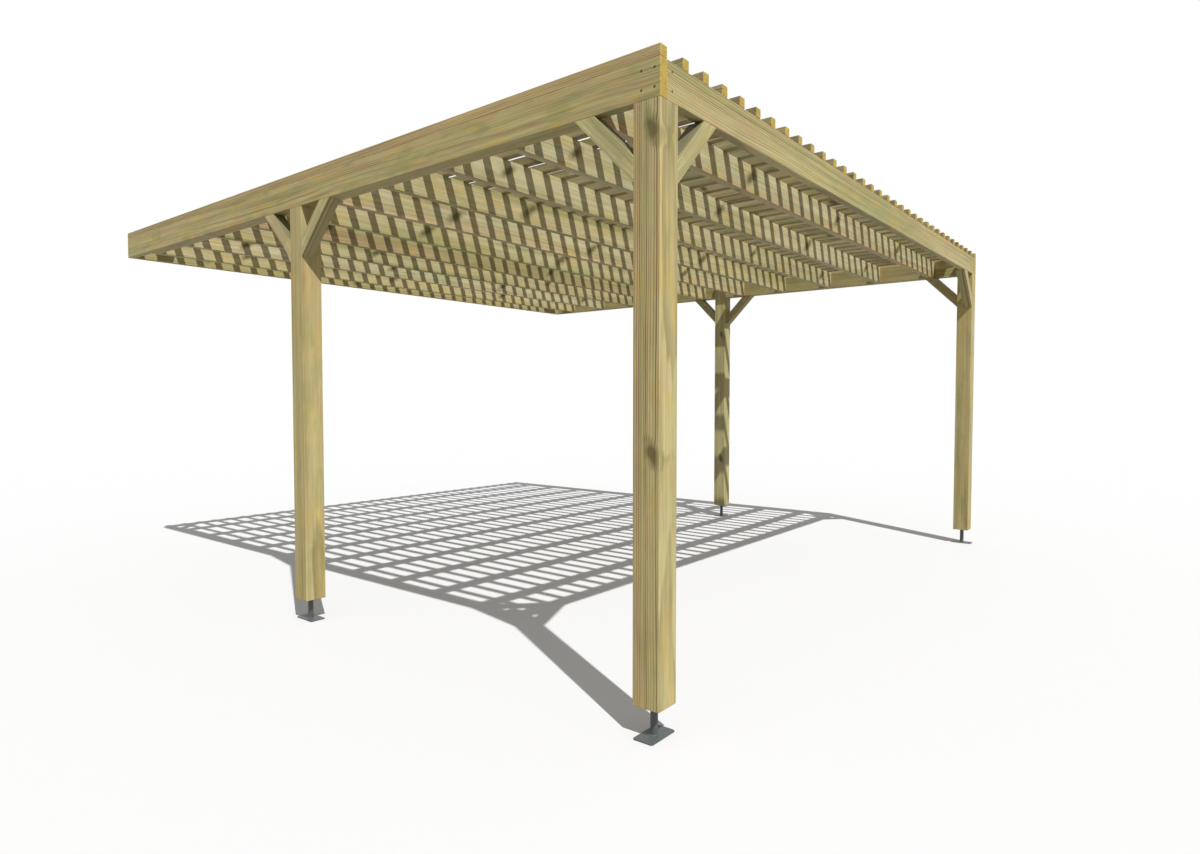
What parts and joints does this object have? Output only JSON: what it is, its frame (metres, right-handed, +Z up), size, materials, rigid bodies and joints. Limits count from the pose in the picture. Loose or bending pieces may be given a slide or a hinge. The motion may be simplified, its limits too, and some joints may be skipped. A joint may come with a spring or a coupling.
{
  "type": "wall-leaning wooden pergola",
  "caption": "Open timber pergola for a house wall: square posts on raised metal feet, flush beams with knee braces, close joists and a flat roof of spaced slats.",
  "frame": {"origin": "on the ground, in the middle of the space the pergola takes up", "axes": "+Z up, +Y towards the house wall, the open front faces -Y, +X to the right as seen from the front"},
  "size_m": [5.034, 4.97, 2.564],
  "materials": {
    "post_timber": "planed pressure-treated softwood",
    "beam_timber": "planed pressure-treated softwood",
    "joist_timber": "planed pressure-treated softwood",
    "brace_timber": "planed pressure-treated softwood",
    "slat_timber": "planed pressure-treated softwood",
    "foot_metal": "dark grey paint"
  },
  "bodies": {
    "root": {"front_left_post": "post_timber", "front_left_foot": "foot_metal", "front_right_post": "post_timber", "front_right_foot": "foot_metal", "middle_left_post": "post_timber", "middle_left_foot": "foot_metal", "middle_right_post": "post_timber", "middle_right_foot": "foot_metal", "left_side_beam": "beam_timber", "right_side_beam": "beam_timber", "left_inner_beam": "beam_timber", "right_inner_beam": "beam_timber", "front_beam": "beam_timber", "wall_beam": "beam_timber", "joist_01": "joist_timber", "joist_02": "joist_timber", "joist_03": "joist_timber", "joist_04": "joist_timber", "joist_05": "joist_timber", "joist_06": "joist_timber", "joist_07": "joist_timber", "joist_08": "joist_timber", "joist_09": "joist_timber", "joist_10": "joist_timber", "front_left_side_brace": "brace_timber", "middle_left_front_brace": "brace_timber", "middle_left_back_brace": "brace_timber", "front_left_cross_brace": "brace_timber", "front_left_corner_brace": "brace_timber", "wall_left_corner_brace": "brace_timber", "left_edge_slat": "slat_timber", "front_right_side_brace": "brace_timber", "middle_right_front_brace": "brace_timber", "middle_right_back_brace": "brace_timber", "front_right_cross_brace": "brace_timber", "front_right_corner_brace": "brace_timber", "wall_right_corner_brace": "brace_timber", "right_edge_slat": "slat_timber", "roof_slats_1": "slat_timber", "roof_slats_2": "slat_timber", "roof_slats_3": "slat_timber", "roof_slats_4": "slat_timber"}
  },
  "joints": []
}
